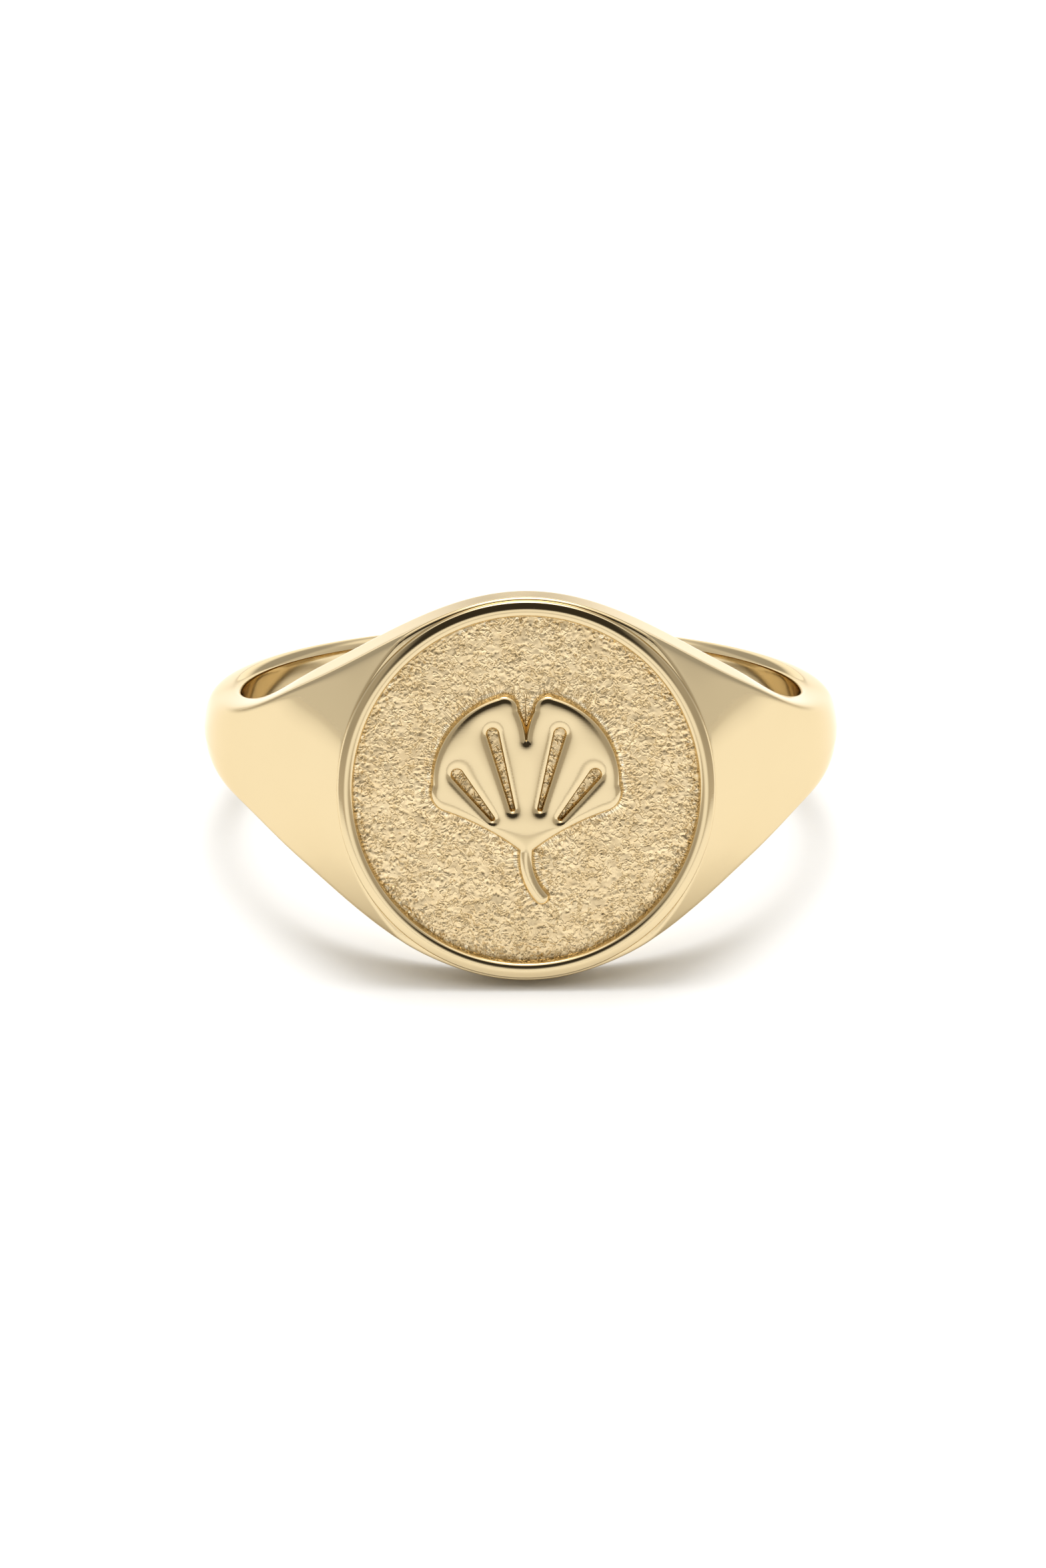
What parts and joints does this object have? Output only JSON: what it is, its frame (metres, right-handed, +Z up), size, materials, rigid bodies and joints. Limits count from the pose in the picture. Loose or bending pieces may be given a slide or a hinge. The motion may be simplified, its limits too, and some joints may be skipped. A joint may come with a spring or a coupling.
{
  "type": "signet ring",
  "caption": "Gold signet ring: round face with a raised rim, a matte textured field and a raised leaf emblem, on a band that tapers to the back.",
  "frame": {"origin": "centre of the finger bore, on its axis at mid-height of the band and head", "axes": "+Z up, with the ring lying on a table on the foot of its head and the back of its band; -Y towards the signet face; X across the hoop. The bore's axis lies in the YZ plane, leaned 14.5 degrees from +Z towards +Y."},
  "size_m": [0.0208, 0.0219, 0.0123],
  "materials": {
    "polished_gold": "mirror-polished pale yellow gold",
    "textured_gold": "matte, finely struck texture"
  },
  "bodies": {
    "root": {"shank": "polished_gold", "field_plate": "textured_gold", "bezel_rim": "polished_gold", "emblem": "polished_gold"}
  },
  "joints": []
}
